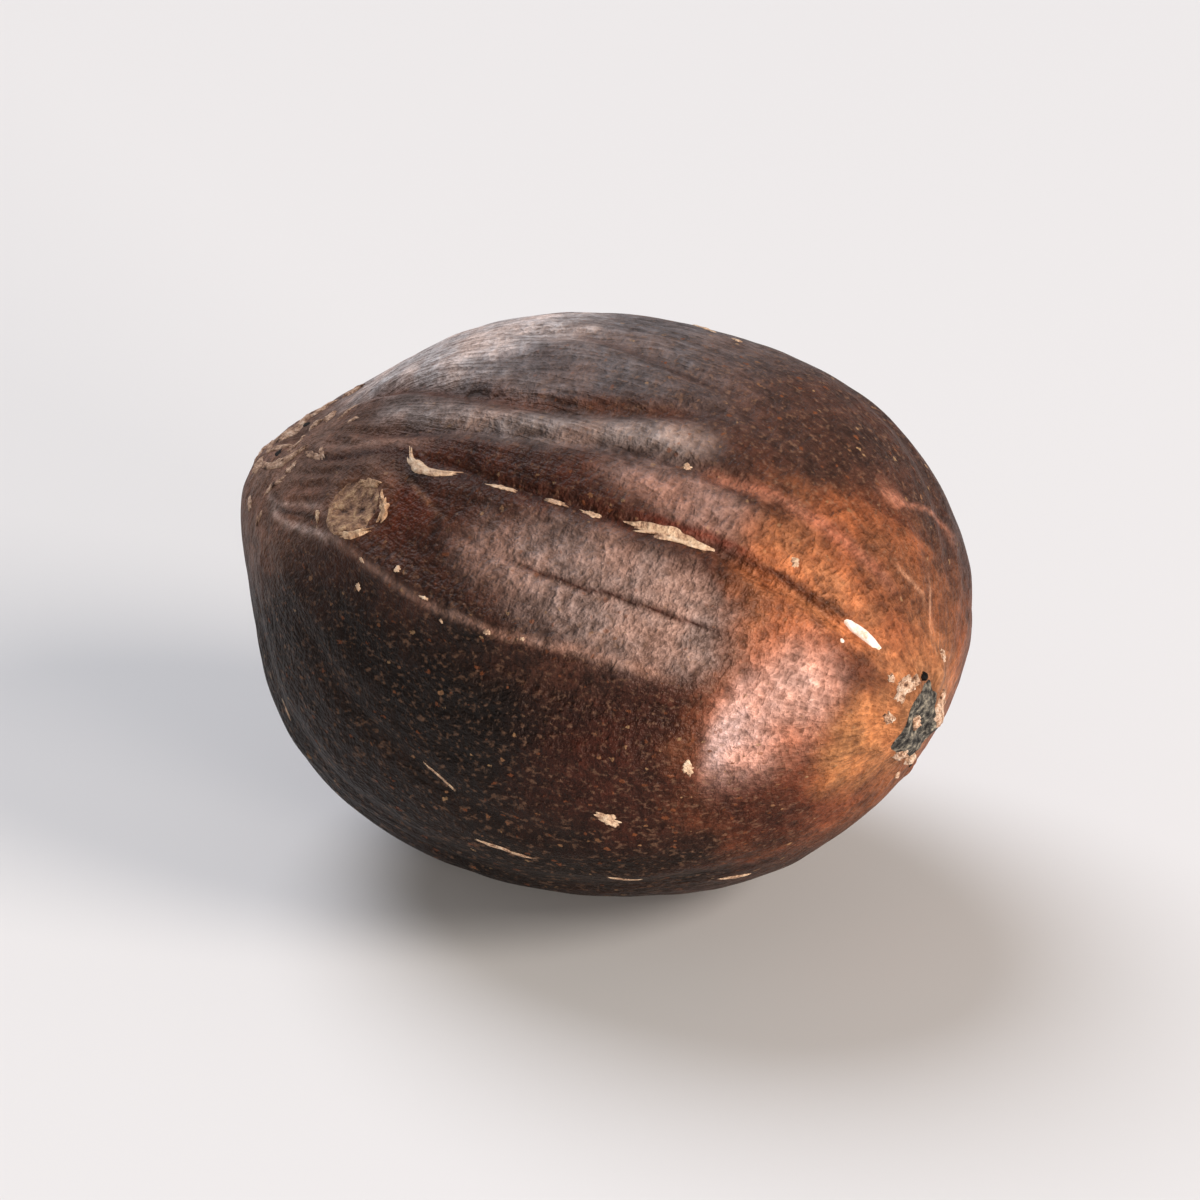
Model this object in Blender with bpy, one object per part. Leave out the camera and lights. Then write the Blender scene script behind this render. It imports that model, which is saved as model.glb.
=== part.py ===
"""A whole nutmeg, still in its brown shell, lying on its side.

The seed is one solid: a slightly egg-shaped body with the furrows that the mace left,
the raphe groove, the round chalaza scar, the puckered apex and the crusty hilum.
Metres, +Z up, origin at the bottom centre of the bounding box, hilum towards +X.
"""

import bmesh
import bpy
import numpy as np

MM = 0.001

# Overall size of the seed, lying on its flatter side
LENGTH = 25.5 * MM
WIDTH = 20.7 * MM
HEIGHT = 19.8 * MM
FLAT_DEPTH = 0.31 * MM  # how much of the round underside the resting spot takes off
HILUM_END_FULLNESS = 0.045  # the hilum end is this much fuller, the apex end this much slimmer
APEX_RISE = 0.55 * MM  # the slim end sweeps up by this much

# Where the two ends of the furrows lie, as (degrees from -X, degrees round X from +Y over +Z)
APEX_PLACE = (33.5, 100.0)
HILUM_PLACE = (162.0, 188.0)

# Mesh fineness, along the furrows and around them
RINGS = 47
MERIDIANS = 112
END_CROWDING = 0.30  # rings lie closer by this share at the two ends, where the scars are

# Broad swells and hollows of the body: degrees from -X, degrees round X, height, half spread in degrees
SWELLS = (
    (21.0, 106.0, 0.45 * MM, 17.0),  # the blunt point at the apex
    (43.0, 82.0, -0.45 * MM, 17.0),  # flat on the top, behind the apex
    (50.0, 242.0, 0.36 * MM, 22.0),  # full cheek below the apex
    (24.0, 200.0, -0.42 * MM, 22.0),  # flat on the front, beside the apex
    (98.0, 240.0, -0.14 * MM, 34.0),  # flat under the belly
    (138.0, 46.0, 0.42 * MM, 24.0),  # shoulder above and behind the hilum
    (142.0, 258.0, -0.50 * MM, 28.0),  # flat under the hilum
    (105.0, 10.0, -0.16 * MM, 34.0),  # flat on the back
)

# Furrows that the mace pressed in: start and end along the seed (0 apex, 180 hilum),
# their places round it from the raphe, sideways bow, depth and half width
FURROWS = (
    (8.0, 108.0, -50.0, -46.0, 27.0, 0.26 * MM, 0.70 * MM),
    (22.0, 128.0, 4.0, -22.0, -3.0, 0.20 * MM, 0.50 * MM),
    (44.0, 112.0, -58.0, -42.0, 3.0, 0.15 * MM, 0.60 * MM),
    (58.0, 140.0, 28.0, 20.0, -1.0, 0.10 * MM, 0.35 * MM),
    (30.0, 126.0, 62.0, 55.0, 6.0, 0.08 * MM, 0.70 * MM),
    (42.0, 118.0, 74.0, 92.0, 3.0, 0.11 * MM, 0.60 * MM),
    (26.0, 150.0, 104.0, 112.0, 4.0, 0.15 * MM, 0.70 * MM),
)
SHOULDER = 0.45  # a furrow's shoulders rise by this share of its depth
FADE_IN, FADE_OUT = 0.16, 0.20  # shares of a furrow's length over which its two ends run out

# The furrows of the far side follow one rule: evenly spread, each a little different
FAR_FURROWS = 9
FAR_FROM, FAR_TO = 126.0, 288.0
FAR_START, FAR_END = (14.0, 44.0), (112.0, 156.0)
FAR_SHIFT, FAR_TWIST, FAR_BOW = 5.0, 12.0, 9.0  # the most that each may be, in degrees
FAR_DEPTH = (0.11 * MM, 0.21 * MM)
FAR_HALF_WIDTH = 0.70 * MM
FAR_SEED = 14

# The raphe, a groove from the chalaza to the hilum with a lip on its lower side
RAPHE = (40.0, 168.0, 10.0, -6.0, 0.0, 0.20 * MM, 0.48 * MM)
RAPHE_LIP = 0.10 * MM

# A long low fold below the raphe, where the front turns under
FOLD = (34.0, 138.0, 44.0, 35.0, 3.0, 0.24 * MM, 0.90 * MM)
FOLD_DROP = 0.6  # the side below the fold is hollowed by this share of the fold's height

CHALAZA_PLACE = (40.0, 31.0)  # along and round, in the same degrees as the furrows
CHALAZA_RADIUS = 1.15 * MM
CHALAZA_DEPTH = 0.14 * MM
CHALAZA_RIM = 0.07 * MM

APEX_PIT_RADIUS = 0.70 * MM
APEX_PIT_DEPTH = 0.24 * MM

HILUM_RADIUS = 1.60 * MM
HILUM_HEIGHT = 0.36 * MM
HILUM_PIT_DEPTH = 0.34 * MM
HILUM_RAGGED = 0.16  # share by which the hilum's edge wanders in and out
HILUM_CRUMBS = 0.10 * MM  # height of the lumps on its crust

# Shallow unevenness all over
WAVES = 14
WAVE_HEIGHT = 0.035 * MM
WAVE_TURNS = 4.5  # how quickly the waves follow each other across the body
WAVE_SEED = 5


def unit(vectors):
    """The vectors, each made one long."""
    return vectors / np.linalg.norm(vectors, axis=-1, keepdims=True)


def direction_at(from_tip, round_x):
    """The unit vector at these degrees from -X and round X."""
    tip, turn = np.radians(from_tip), np.radians(round_x)
    return np.array([-np.cos(tip), np.sin(tip) * np.cos(turn), np.sin(tip) * np.sin(turn)])


APEX = direction_at(*APEX_PLACE)
HILUM = direction_at(*HILUM_PLACE)
SEED_AXIS = unit(HILUM - APEX)
RAPHE_SIDE = unit(HILUM + APEX)
LOWER_SIDE = np.cross(SEED_AXIS, RAPHE_SIDE)
LEAN = np.linalg.norm(HILUM + APEX) / np.linalg.norm(HILUM - APEX)
HALF_SIZE = np.array([LENGTH, WIDTH, HEIGHT]) / 2


def from_seed_frame(along, around):
    """Unit directions of the body at degrees along and around the seed.

    Both ends lean towards the raphe, so a straight seed direction is shifted that way.
    """
    along, around = np.radians(along), np.radians(around)
    straight = (
        -np.cos(along)[..., None] * SEED_AXIS
        + (np.sin(along) * np.cos(around))[..., None] * RAPHE_SIDE
        + (np.sin(along) * np.sin(around))[..., None] * LOWER_SIDE
    )
    return unit(straight + LEAN * RAPHE_SIDE)


def bell(distance, half_width):
    """A smooth bump: 1 at no distance, and next to nothing past twice the half width."""
    return np.exp(-((distance / half_width) ** 2))


def ease(low, high, value):
    """0 below low, 1 above high, and a smooth step between."""
    share = np.clip((value - low) / (high - low), 0, 1)
    return share * share * (3 - 2 * share)


def body(directions):
    """Points of the smooth body: an ellipsoid, fuller at the hilum end, its slim end swept up."""
    fullness = 1 + HILUM_END_FULLNESS * directions[:, 0]
    points = directions * HALF_SIZE
    points[:, 1:] *= fullness[:, None]
    points[:, 2] += APEX_RISE * ((1 - directions[:, 0]) / 2) ** 3
    return points


def swells(directions):
    """Height of the broad swells and hollows."""
    height = np.zeros(len(directions))
    for from_tip, round_x, rise, spread in SWELLS:
        apart = np.degrees(np.arccos(np.clip(directions @ direction_at(from_tip, round_x), -1, 1)))
        height += rise * bell(apart, spread)
    return height


def waves(directions):
    """Shallow unevenness: a few sine waves across the body, each in its own direction."""
    draw = np.random.RandomState(WAVE_SEED)
    height = np.zeros(len(directions))
    for _ in range(WAVES):
        heading = draw.normal(size=3)
        height += WAVE_HEIGHT * np.sin(directions @ heading * WAVE_TURNS + draw.uniform(0, 2 * np.pi))
    return height


def across(line, along, around, radius):
    """Signed distance from a furrow's line to each point, and how far the point is inside its ends."""
    start, end, first, last, bow = line[:5]
    share = (along - start) / (end - start)
    inside = np.clip(share, 0, 1)
    middle = first + (last - first) * inside + bow * 4 * inside * (1 - inside)
    turn = (around - middle + 180) % 360 - 180
    reach = ease(0, FADE_IN, share) * ease(0, FADE_OUT, 1 - share)
    return np.radians(turn) * radius, reach


def furrow(line, along, around, radius):
    """Height of one furrow: a groove with soft raised shoulders."""
    depth, half_width = line[5:]
    distance, reach = across(line, along, around, radius)
    shoulders = SHOULDER * bell(distance, 2.1 * half_width)
    return depth * reach * (shoulders - (1 + SHOULDER) * bell(distance, half_width))


def far_furrows():
    """The furrows of the far side, spread evenly and varied by a seeded draw."""
    draw = np.random.RandomState(FAR_SEED)
    lines = []
    for place in np.linspace(FAR_FROM, FAR_TO, FAR_FURROWS):
        start, end = draw.uniform(*FAR_START), draw.uniform(*FAR_END)
        first = place + draw.uniform(-FAR_SHIFT, FAR_SHIFT)
        last = first + draw.uniform(-FAR_TWIST, FAR_TWIST)
        bow, depth = draw.uniform(-FAR_BOW, FAR_BOW), draw.uniform(*FAR_DEPTH)
        lines.append((start, end, first, last, bow, depth, FAR_HALF_WIDTH))
    return lines


def raphe(along, around, radius):
    """The raphe: a groove whose lower edge stands up as a thin lip."""
    depth, half_width = RAPHE[5:]
    distance, reach = across(RAPHE, along, around, radius)
    lip = RAPHE_LIP * bell(distance - 1.7 * half_width, 0.9 * half_width)
    return reach * (lip - depth * bell(distance, half_width))


def fold(along, around, radius):
    """The fold: a soft crest whose lower side drops away more steeply than its upper side."""
    height, half_width = FOLD[5:]
    distance, reach = across(FOLD, along, around, radius)
    hollow = FOLD_DROP * bell(distance - 2 * half_width, 1.6 * half_width)
    return height * reach * (bell(distance, half_width) - hollow)


def ragged(offset):
    """Distance from a scar's centre, made uneven so that a ring at any distance is ragged."""
    turn = np.arctan2(offset @ LOWER_SIDE, offset @ RAPHE_SIDE)
    wander = np.sin(2 * turn + 0.6) + 0.8 * np.sin(3 * turn + 2.0) + 0.6 * np.sin(7 * turn)
    return np.linalg.norm(offset, axis=1) * (1 + HILUM_RAGGED * wander / 2)


def scars(points):
    """Height of the three scars: the chalaza's sunken disc, the apex's pit and the hilum's crust."""
    along, around = np.array([CHALAZA_PLACE, (0.0, 0.0), (180.0, 0.0)]).T
    centres = body(from_seed_frame(along, around))
    chalaza, apex = (np.linalg.norm(points - centre, axis=1) for centre in centres[:2])
    hilum = ragged(points - centres[2])
    height = CHALAZA_RIM * bell(chalaza - CHALAZA_RADIUS, 0.45 * CHALAZA_RADIUS)
    height -= CHALAZA_DEPTH * (1 - ease(0.5 * CHALAZA_RADIUS, CHALAZA_RADIUS, chalaza))
    height -= APEX_PIT_DEPTH * bell(apex, APEX_PIT_RADIUS)
    crust = 1 - ease(0.5 * HILUM_RADIUS, 1.4 * HILUM_RADIUS, hilum)
    crumbs = np.prod(np.sin(points / HILUM_RADIUS * 4.6 + [0.4, 1.1, 2.3]), axis=1)
    height += crust * (HILUM_HEIGHT + 2 * HILUM_CRUMBS * crumbs)
    height -= HILUM_PIT_DEPTH * bell(hilum, 0.5 * HILUM_RADIUS)
    return height


def surface(along, around):
    """Points of the finished surface at degrees along and around the seed."""
    directions = from_seed_frame(along, around)
    points = body(directions)
    radius = np.linalg.norm(points - np.outer((points @ SEED_AXIS), SEED_AXIS), axis=1)
    height = swells(directions) + waves(directions) + scars(points)
    for line in (*FURROWS, *far_furrows()):
        height += furrow(line, along, around, radius)
    height += raphe(along, around, radius) + fold(along, around, radius)
    outward = unit(directions / HALF_SIZE)
    return points + height[:, None] * outward


def clear_scene():
    """Removes every object that the file starts with."""
    for item in list(bpy.data.objects):
        bpy.data.objects.remove(item)


def shell_material():
    """Brown woody seed coat with a waxy shine."""
    material = bpy.data.materials.new("nutmeg_shell")
    material.use_nodes = True
    shader = material.node_tree.nodes["Principled BSDF"]
    shader.inputs["Base Color"].default_value = (0.085, 0.034, 0.020, 1)
    shader.inputs["Roughness"].default_value = 0.38
    shader.inputs["Metallic"].default_value = 0
    return material


def place(points):
    """Moves the points so that the bottom centre of their box, less the resting flat, is the origin."""
    low, high = points.min(axis=0), points.max(axis=0)
    return points - [*((low + high) / 2)[:2], low[2] + FLAT_DEPTH]


def make_nutmeg():
    """One closed body: a globe of rings and meridians shaped by surface(), then cut flat where it rests."""
    shape = bmesh.new()
    bmesh.ops.create_uvsphere(shape, u_segments=MERIDIANS, v_segments=RINGS, radius=1)
    shape.verts.ensure_lookup_table()
    globe = np.array([vertex.co for vertex in shape.verts])
    along = np.arccos(np.clip(-globe[:, 2], -1, 1))
    along = np.degrees(along - END_CROWDING / 2 * np.sin(2 * along))
    around = np.degrees(np.arctan2(globe[:, 1], globe[:, 0]))
    for vertex, point in zip(shape.verts, place(surface(along, around))):
        vertex.co = point
    cut = bmesh.ops.bisect_plane(
        shape,
        geom=shape.verts[:] + shape.edges[:] + shape.faces[:],
        plane_co=(0, 0, 0),
        plane_no=(0, 0, -1),
        clear_outer=True,
    )
    rim = [part for part in cut["geom_cut"] if isinstance(part, bmesh.types.BMEdge)]
    bmesh.ops.contextual_create(shape, geom=rim)
    bmesh.ops.triangulate(shape, faces=shape.faces[:])
    bmesh.ops.recalc_face_normals(shape, faces=shape.faces[:])
    mesh = bpy.data.meshes.new("nutmeg")
    shape.to_mesh(mesh)
    shape.free()
    mesh.shade_smooth()
    mesh.materials.append(shell_material())
    nutmeg = bpy.data.objects.new("nutmeg", mesh)
    bpy.context.scene.collection.objects.link(nutmeg)
    return nutmeg


clear_scene()
make_nutmeg()
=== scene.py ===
import bpy
import numpy as np
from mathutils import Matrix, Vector


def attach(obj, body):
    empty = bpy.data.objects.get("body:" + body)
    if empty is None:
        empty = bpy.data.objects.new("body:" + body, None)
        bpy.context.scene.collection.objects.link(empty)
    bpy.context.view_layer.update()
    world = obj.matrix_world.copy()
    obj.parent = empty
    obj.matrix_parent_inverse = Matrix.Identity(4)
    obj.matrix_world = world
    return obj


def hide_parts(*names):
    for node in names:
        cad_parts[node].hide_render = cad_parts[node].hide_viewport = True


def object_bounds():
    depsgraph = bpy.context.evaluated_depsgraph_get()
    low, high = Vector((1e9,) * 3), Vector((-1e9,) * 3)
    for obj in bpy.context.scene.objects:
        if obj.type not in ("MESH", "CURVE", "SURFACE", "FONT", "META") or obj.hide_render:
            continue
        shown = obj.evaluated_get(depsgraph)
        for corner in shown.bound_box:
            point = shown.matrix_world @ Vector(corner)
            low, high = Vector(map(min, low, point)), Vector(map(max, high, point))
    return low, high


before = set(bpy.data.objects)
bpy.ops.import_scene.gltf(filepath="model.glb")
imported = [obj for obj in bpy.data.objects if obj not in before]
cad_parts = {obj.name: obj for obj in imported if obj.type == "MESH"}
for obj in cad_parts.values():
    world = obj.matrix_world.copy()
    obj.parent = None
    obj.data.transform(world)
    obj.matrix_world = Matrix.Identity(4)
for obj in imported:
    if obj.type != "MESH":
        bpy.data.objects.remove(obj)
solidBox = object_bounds()
mm = 0.001

# The seed, in millimetres. Places on it are given as degrees along it (0 at the apex, 180 at the hilum)
# and degrees round it (0 at the raphe, the groove along its front, and rising towards the underside).
seed = {
    "length": 25.5, "width": 20.7, "height": 19.8,
    "fullness": 0.045,  # the hilum end is this much fuller, the apex end this much slimmer
    "apexRise": 0.55,  # the slim end sweeps up by this much
    "apexAt": (33.5, 100.0), "hilumAt": (162.0, 188.0),  # degrees from -X, degrees round X from +Y
    "columns": 440, "rows": 220,  # grid lines round the seed and along it
    "endCrowding": 0.12,  # rows lie a little closer together at the two ends
    "grainRadius": 10.2,  # radius of the tube on which the patterns along the seed are drawn
    "alongStep": 0.2,  # millimetres of that tube for each degree along
}

# Broad swells and hollows: degrees from -X, degrees round X, height, half spread in degrees
swells = [
    (21, 106, 0.45, 17), (43, 82, -0.45, 17), (50, 242, 0.36, 22), (24, 200, -0.42, 22),
    (98, 240, -0.14, 34), (138, 46, 0.42, 24), (142, 258, -0.50, 28), (105, 10, -0.16, 34),
]
broadWaves = {"count": 14, "height": 0.035, "turns": 4.5, "seed": 5}

# Furrows that the mace pressed in: start and end along, place round at each end, bow, depth, half width
furrows = [
    (8, 108, -50, -46, 27, 0.26, 0.70), (22, 128, 4, -22, -3, 0.20, 0.50),
    (44, 112, -58, -42, 3, 0.15, 0.60), (58, 140, 28, 20, -1, 0.10, 0.35),
    (30, 126, 62, 55, 6, 0.08, 0.70), (42, 118, 74, 92, 3, 0.11, 0.60),
    (26, 150, 104, 112, 4, 0.15, 0.70),
]
# Every furrow: shares of its length over which its ends run out, and the height and width of its shoulders
# as shares of its depth and half width
furrowShape = {"fadeIn": 0.16, "fadeOut": 0.20, "shoulder": 0.45, "shoulderWidth": 2.1}
farSide = {"count": 9, "between": (126, 288), "start": (14, 44), "end": (112, 156), "shift": 5, "twist": 12,
           "bow": 9, "depth": (0.11, 0.21), "halfWidth": 0.70, "seed": 14}

# The groove along the front and the long low fold below it, given as the furrows are
raphe = (40, 168, 10, -6, 0, 0.20, 0.48)
rapheLip = 0.10  # millimetres that the groove's lower edge stands up
fold = (34, 138, 44, 35, 3, 0.24, 0.90)
foldDrop = 0.6  # the side below the fold is hollowed by this share of its height
lineWander = [(1.6, (6, 6, 5), 31), (0.8, (2, 2, 3), 32)]  # degrees that the lines stray, cell, noise number
scars = {"chalazaAt": (40, 31), "chalazaRadius": 1.15, "chalazaDepth": 0.14, "chalazaRim": 0.07,
         "apexRadius": 0.70, "apexDepth": 0.24, "hilumRadius": 1.60, "hilumHeight": 0.36, "hilumDepth": 0.34,
         "ragged": 0.16, "crumbs": 0.10, "crumbTurns": 4.6}

# Fine relief of the coat, in millimetres and degrees
finish = {
    "tipFade": 24,  # patterns round the seed would crowd at its two ends, so they fade over these degrees
    "ribs": [(0.035, (1.7, 1.7, 11.0), 41), (0.018, (0.8, 0.8, 5.0), 42)],  # height, cell, noise number
    "lumps": [(0.050, 2.6, 43), (0.026, 1.1, 44)],
    "crack": (0.07, 0.16),  # along the floor of the raphe: depth and half width
    "pucker": (0.10, 0.75, 46, 2.2),  # at the apex: height, cell, noise number, reach
}
# Short pleats between the chalaza and the apex: place and spread along and round, noise that bends them,
# and the distances from the chalaza between which they begin
pleats = {"height": 0.07, "period": 0.62, "at": (24, 32), "spread": (8, 34), "bend": (1.5, 1.4, 45),
          "clear": (0.9, 1.3)}


def unit(vectors):
    # each vector divided by its own length
    return vectors / np.linalg.norm(vectors, axis=-1, keepdims=True)


def bell(distance, halfWidth):
    # e to the minus (distance over half width) squared: 1 in the middle, nothing past twice the half width
    return np.exp(-((distance / halfWidth) ** 2))


def ease(low, high, value):
    # 0 at low, 1 at high, and the smooth step 3s^2 - 2s^3 between; low may be the larger one
    share = np.clip((value - low) / (high - low), 0, 1)
    return share * share * (3 - 2 * share)


def turnFrom(around, place):
    # signed degrees from a place round the seed, -180 to 180
    return (around - place + 180) % 360 - 180


def directionAt(fromTip, roundX):
    # the unit vector at these degrees from -X and round X
    tip, turn = np.radians(fromTip), np.radians(roundX)
    return np.array([-np.cos(tip), np.sin(tip) * np.cos(turn), np.sin(tip) * np.sin(turn)])


apex, hilum = directionAt(*seed["apexAt"]), directionAt(*seed["hilumAt"])
seedAxis, rapheSide = unit(hilum - apex), unit(hilum + apex)
lowerSide = np.cross(seedAxis, rapheSide)
lean = np.linalg.norm(hilum + apex) / np.linalg.norm(hilum - apex)
halfSize = np.array([seed["length"], seed["width"], seed["height"]]) / 2


def seedDirections(along, around):
    # a globe whose poles are the apex and the hilum, shifted towards the raphe side, as both lean that way
    along, around = np.radians(along), np.radians(around)
    straight = (-np.cos(along)[:, None] * seedAxis
                + (np.sin(along) * np.cos(around))[:, None] * rapheSide
                + (np.sin(along) * np.sin(around))[:, None] * lowerSide)
    return unit(straight + lean * rapheSide)


def bodyPoints(directions):
    # an ellipsoid whose width and height grow evenly towards the hilum end, with the slim end swept up
    points = directions * halfSize
    points[:, 1:] *= 1 + seed["fullness"] * directions[:, :1]
    points[:, 2] += seed["apexRise"] * ((1 - directions[:, 0]) / 2) ** 3
    return points


def placesOf(points):
    # degrees along and round for points near the body: seedDirections and bodyPoints undone. The direction is
    # refined three times, and the shift is undone by finding t so that |t * direction - shift| is 1.
    directions = unit(points / halfSize)
    for _ in range(3):
        directions = unit((points - bodyPoints(directions)) / halfSize + directions)
    sideways = lean * (directions @ rapheSide)
    reach = sideways + np.sqrt(sideways ** 2 + 1 - lean ** 2)
    straight = reach[:, None] * directions - lean * rapheSide
    along = np.degrees(np.arccos(np.clip(-(straight @ seedAxis), -1, 1)))
    return along, np.degrees(np.arctan2(straight @ lowerSide, straight @ rapheSide))


def grainOf(along, around):
    # the seed unrolled on a tube: round the tube as round the seed, and millimetres along it
    turn, radius = np.radians(around), seed["grainRadius"]
    return np.stack([radius * np.cos(turn), radius * np.sin(turn), along * seed["alongStep"]], axis=1)


def cloud(points, cell, seedNumber):
    # gradient noise: every corner of a lattice has a random slope, and the eight slopes near a point are
    # blended by the smooth curve 6s^5 - 15s^4 + 10s^3; about -1 to 1, with lumps one cell across
    size = 32
    slopes = unit(np.random.RandomState(seedNumber).normal(size=(size, size, size, 3)))
    place = points / np.asarray(cell, dtype=float)
    corner = np.floor(place).astype(int)
    offset = place - corner
    blend = offset ** 3 * (offset * (6 * offset - 15) + 10)
    total = np.zeros(len(points))
    for step in np.ndindex(2, 2, 2):
        near = (corner + step) % size
        slope = slopes[near[:, 0], near[:, 1], near[:, 2]]
        weight = np.prod(np.where(step, blend, 1 - blend), axis=1)
        total += weight * np.sum(slope * (offset - step), axis=1)
    return total * 1.6


def swellHeight(directions):
    # the sum of wide bells round their places, and of a few sine waves across the body
    height = np.zeros(len(directions))
    for fromTip, roundX, rise, spread in swells:
        apart = np.degrees(np.arccos(np.clip(directions @ directionAt(fromTip, roundX), -1, 1)))
        height += rise * bell(apart, spread)
    draw = np.random.RandomState(broadWaves["seed"])
    for _ in range(broadWaves["count"]):
        heading = draw.normal(size=3) * broadWaves["turns"]
        height += broadWaves["height"] * np.sin(directions @ heading + draw.uniform(0, 2 * np.pi))
    return height


def across(line, along, around, radius):
    # millimetres to one side of a furrow's line, and how far inside the furrow's two ends a point is
    start, end, first, last, bow = line[:5]
    share = (along - start) / (end - start)
    inside = np.clip(share, 0, 1)
    middle = first + (last - first) * inside + bow * 4 * inside * (1 - inside)
    reach = ease(0, furrowShape["fadeIn"], share) * ease(0, furrowShape["fadeOut"], 1 - share)
    return np.radians(turnFrom(around, middle)) * radius, reach


def furrowHeight(line, along, around, radius):
    # a narrow bell down and a wider, lower bell up, which leaves soft shoulders
    depth, halfWidth = line[5:]
    distance, reach = across(line, along, around, radius)
    raised = furrowShape["shoulder"]
    shoulders = raised * bell(distance, furrowShape["shoulderWidth"] * halfWidth)
    return depth * reach * (shoulders - (1 + raised) * bell(distance, halfWidth))


def farFurrows():
    # evenly spread round the far side, each a little different
    draw = np.random.RandomState(farSide["seed"])
    lines = []
    for place in np.linspace(*farSide["between"], farSide["count"]):
        start, end = draw.uniform(*farSide["start"]), draw.uniform(*farSide["end"])
        first = place + draw.uniform(-farSide["shift"], farSide["shift"])
        last = first + draw.uniform(-farSide["twist"], farSide["twist"])
        bow, depth = draw.uniform(-farSide["bow"], farSide["bow"]), draw.uniform(*farSide["depth"])
        lines.append((start, end, first, last, bow, depth, farSide["halfWidth"]))
    return lines


allFurrows = furrows + farFurrows()
markAlong, markAround = np.array([scars["chalazaAt"], (0, 0), (180, 0)], dtype=float).T
chalazaPoint, apexPoint, hilumPoint = bodyPoints(seedDirections(markAlong, markAround))


def raggedDistance(offset):
    # distance from the hilum, stretched unevenly round it
    turn = np.arctan2(offset @ lowerSide, offset @ rapheSide)
    wander = np.sin(2 * turn + 0.6) + 0.8 * np.sin(3 * turn + 2.0) + 0.6 * np.sin(7 * turn)
    return np.linalg.norm(offset, axis=1) * (1 + scars["ragged"] * wander / 2)


def scarHeight(points):
    # the chalaza's sunken disc with its rim, the apex's pit, and the hilum's crust with the pit in it
    chalaza = np.linalg.norm(points - chalazaPoint, axis=1)
    pit = np.linalg.norm(points - apexPoint, axis=1)
    crustAt = raggedDistance(points - hilumPoint)
    size, wide = scars["chalazaRadius"], scars["hilumRadius"]
    height = scars["chalazaRim"] * bell(chalaza - size, 0.45 * size)
    height -= scars["chalazaDepth"] * (1 - ease(0.5 * size, size, chalaza))
    height -= scars["apexDepth"] * bell(pit, scars["apexRadius"])
    crust = 1 - ease(0.5 * wide, 1.4 * wide, crustAt)
    crumbs = np.prod(np.sin(points / wide * scars["crumbTurns"] + [0.4, 1.1, 2.3]), axis=1)
    height += crust * (scars["hilumHeight"] + 2 * scars["crumbs"] * crumbs)
    return height - scars["hilumDepth"] * bell(crustAt, 0.5 * wide)


def fineRelief(along, around, points, grain):
    # ribs along the seed and lumps, each a noise; sine pleats by the chalaza; and a puckered apex
    edge = finish["tipFade"]
    tipFade = ease(0, edge, along) * ease(180, 180 - edge, along)
    fine = np.zeros(len(points))
    for height, cell, number in finish["ribs"]:
        fine += tipFade * height * cloud(grain, cell, number)
    for height, cell, number in finish["lumps"]:
        fine += height * cloud(points, cell, number)
    offset = points - chalazaPoint
    amount, cell, number = pleats["bend"]
    wave = np.sin(2 * np.pi * (offset @ lowerSide) / pleats["period"] + amount * cloud(points, cell, number))
    wave *= bell(along - pleats["at"][0], pleats["spread"][0])
    wave *= bell(turnFrom(around, pleats["at"][1]), pleats["spread"][1])
    fine += pleats["height"] * wave * ease(*pleats["clear"], np.linalg.norm(offset, axis=1))
    height, cell, number, reach = finish["pucker"]
    fromApex = np.linalg.norm(points - apexPoint, axis=1)
    return fine + height * bell(fromApex, reach) * cloud(points, cell, number)


def seedSurface(along, around):
    # every relief added outwards on the smooth body; returns the points and the unit way out at each
    directions = seedDirections(along, around)
    points = bodyPoints(directions)
    outward = unit(directions / halfSize)
    radius = np.linalg.norm(points - np.outer(points @ seedAxis, seedAxis), axis=1)
    grain = grainOf(along, around)
    wander = around
    for degrees, cell, number in lineWander:
        wander = wander + degrees * cloud(grain, cell, number)
    relief = fineRelief(along, around, points, grain)
    for line in allFurrows:
        relief += furrowHeight(line, along, wander, radius)

    # the raphe: a groove with a lip below it and a fine crack in its floor
    depth, halfWidth = raphe[5:]
    distance, reach = across(raphe, along, wander, radius)
    lip = rapheLip * bell(distance - 1.7 * halfWidth, 0.9 * halfWidth)
    crackDepth, crackWidth = finish["crack"]
    crack = crackDepth * bell(distance + 0.1, crackWidth)
    relief += reach * (lip - depth * bell(distance, halfWidth) - crack)

    # the fold: a crest whose lower side drops away more steeply
    rise, halfWidth = fold[5:]
    distance, reach = across(fold, along, wander, radius)
    hollow = foldDrop * bell(distance - 2 * halfWidth, 1.6 * halfWidth)
    relief += rise * reach * (bell(distance, halfWidth) - hollow)
    height = relief + swellHeight(directions) + scarHeight(points)
    return points + height[:, None] * outward, outward


def gridFaces(columns, rows):
    # a closed globe of rows and columns: quads between neighbouring rows, and a fan of triangles at each pole
    first = 1 + np.arange(rows - 2)[:, None] * columns + np.arange(columns)
    right = 1 + np.arange(rows - 2)[:, None] * columns + (np.arange(columns) + 1) % columns
    quads = np.stack([first, right, right + columns, first + columns], axis=-1).reshape(-1, 4)
    turn = np.arange(columns)
    nextTurn = (turn + 1) % columns
    last = 1 + (rows - 1) * columns
    startFan = np.stack([1 + nextTurn, 1 + turn, np.zeros(columns, int)], axis=1)
    endFan = np.stack([last - columns + turn, last - columns + nextTurn, np.full(columns, last)], axis=1)
    return [quads, startFan, endFan]


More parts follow.
